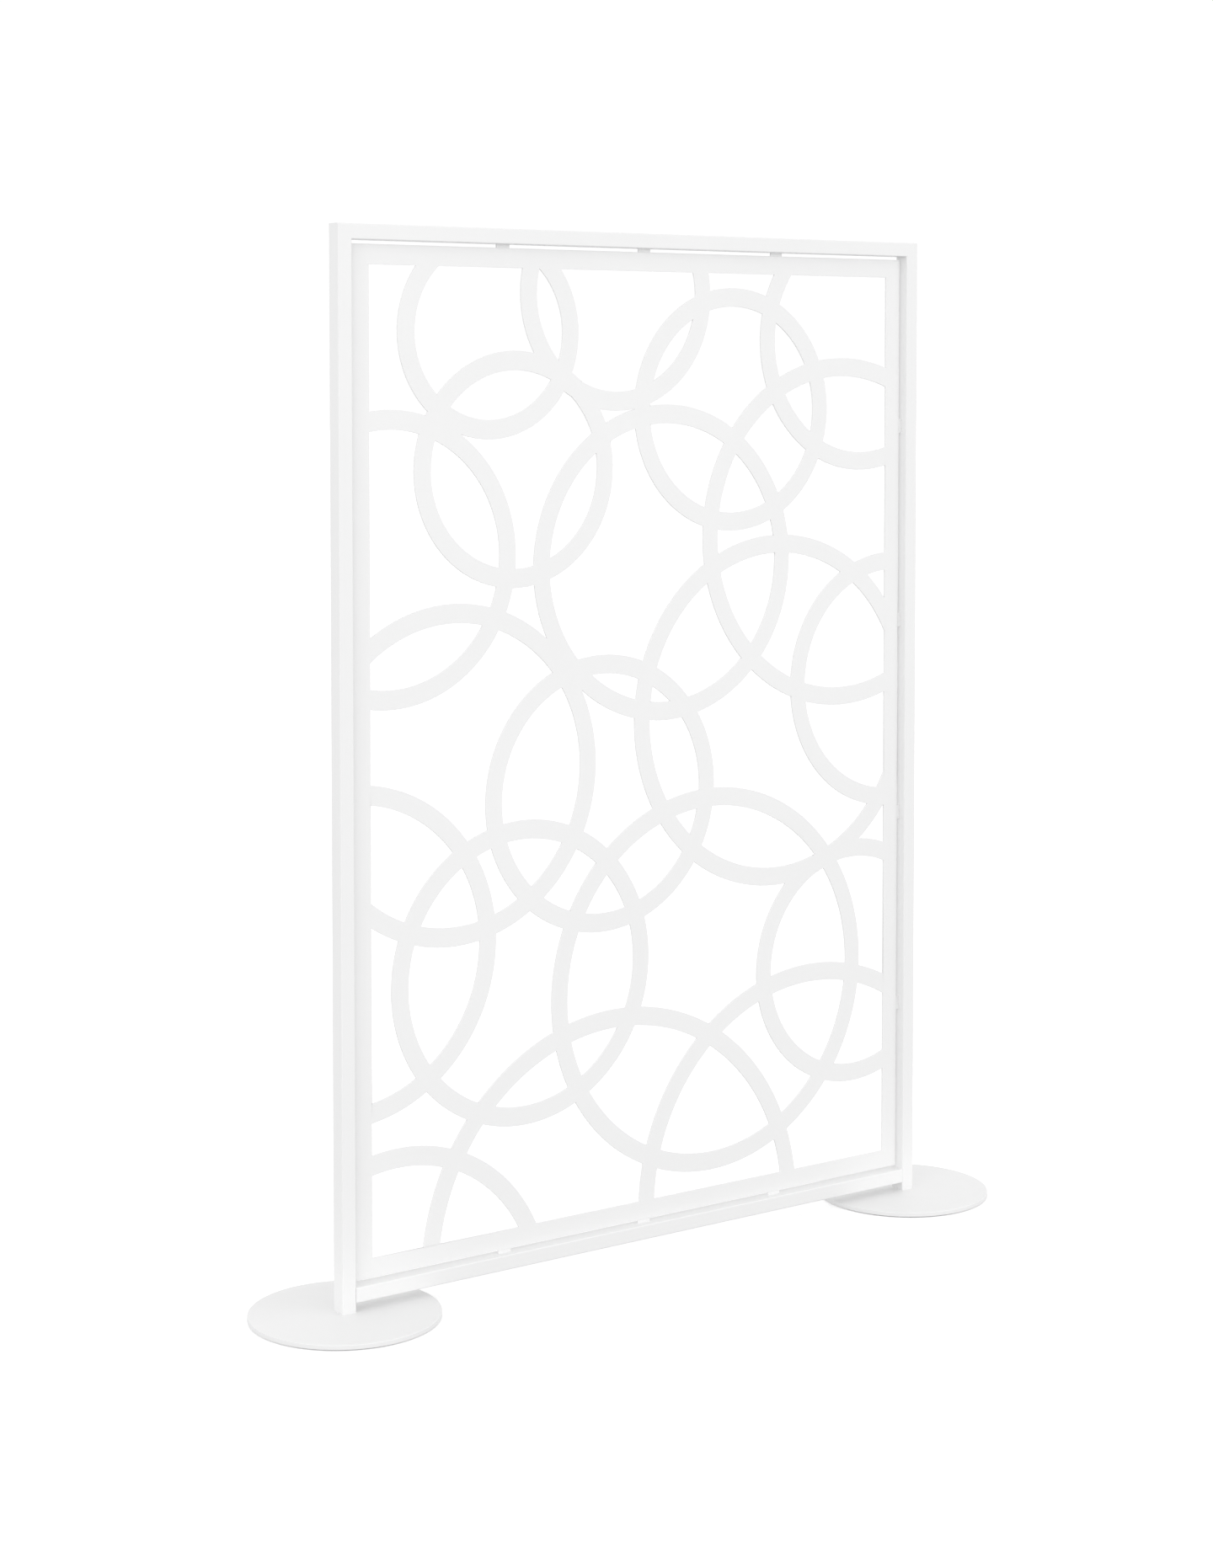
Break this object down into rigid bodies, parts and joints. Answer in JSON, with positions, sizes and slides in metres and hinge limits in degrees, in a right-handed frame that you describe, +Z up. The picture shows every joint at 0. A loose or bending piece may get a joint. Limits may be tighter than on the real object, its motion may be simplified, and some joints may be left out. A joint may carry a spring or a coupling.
{
  "type": "partition wall",
  "caption": "Free-standing partition wall: a slim white metal tube frame on round base plates, filled by a flat cut-metal screen of overlapping rings.",
  "frame": {"origin": "on the floor, midway between the two posts, at the bottom centre of the whole wall", "axes": "+Z up, +X along the wall from the left post to the right post as seen from the front, -Y out of the front"},
  "size_m": [1.485, 0.31, 1.74],
  "materials": {
    "white_powder_coat": "satin white powder coat, very fine orange peel",
    "black_rubber": "matt black rubber",
    "bare_steel": "zinc-plated steel"
  },
  "bodies": {
    "root": {"post_left": "white_powder_coat", "post_right": "white_powder_coat", "rail_top": "white_powder_coat", "rail_bottom": "white_powder_coat", "ring_panel": "white_powder_coat", "lug_top_1": "white_powder_coat", "lug_top_2": "white_powder_coat", "lug_top_3": "white_powder_coat", "lug_bottom_1": "white_powder_coat", "lug_bottom_2": "white_powder_coat", "lug_bottom_3": "white_powder_coat", "lug_left_1": "white_powder_coat", "lug_left_2": "white_powder_coat", "lug_left_3": "white_powder_coat", "lug_left_4": "white_powder_coat", "lug_right_1": "white_powder_coat", "lug_right_2": "white_powder_coat", "lug_right_3": "white_powder_coat", "lug_right_4": "white_powder_coat", "base_plate_left": "white_powder_coat", "base_pad_left": "black_rubber", "foot_plug_left": "bare_steel", "base_bolt_left": "bare_steel", "base_plate_right": "white_powder_coat", "base_pad_right": "black_rubber", "foot_plug_right": "bare_steel", "base_bolt_right": "bare_steel"}
  },
  "joints": []
}
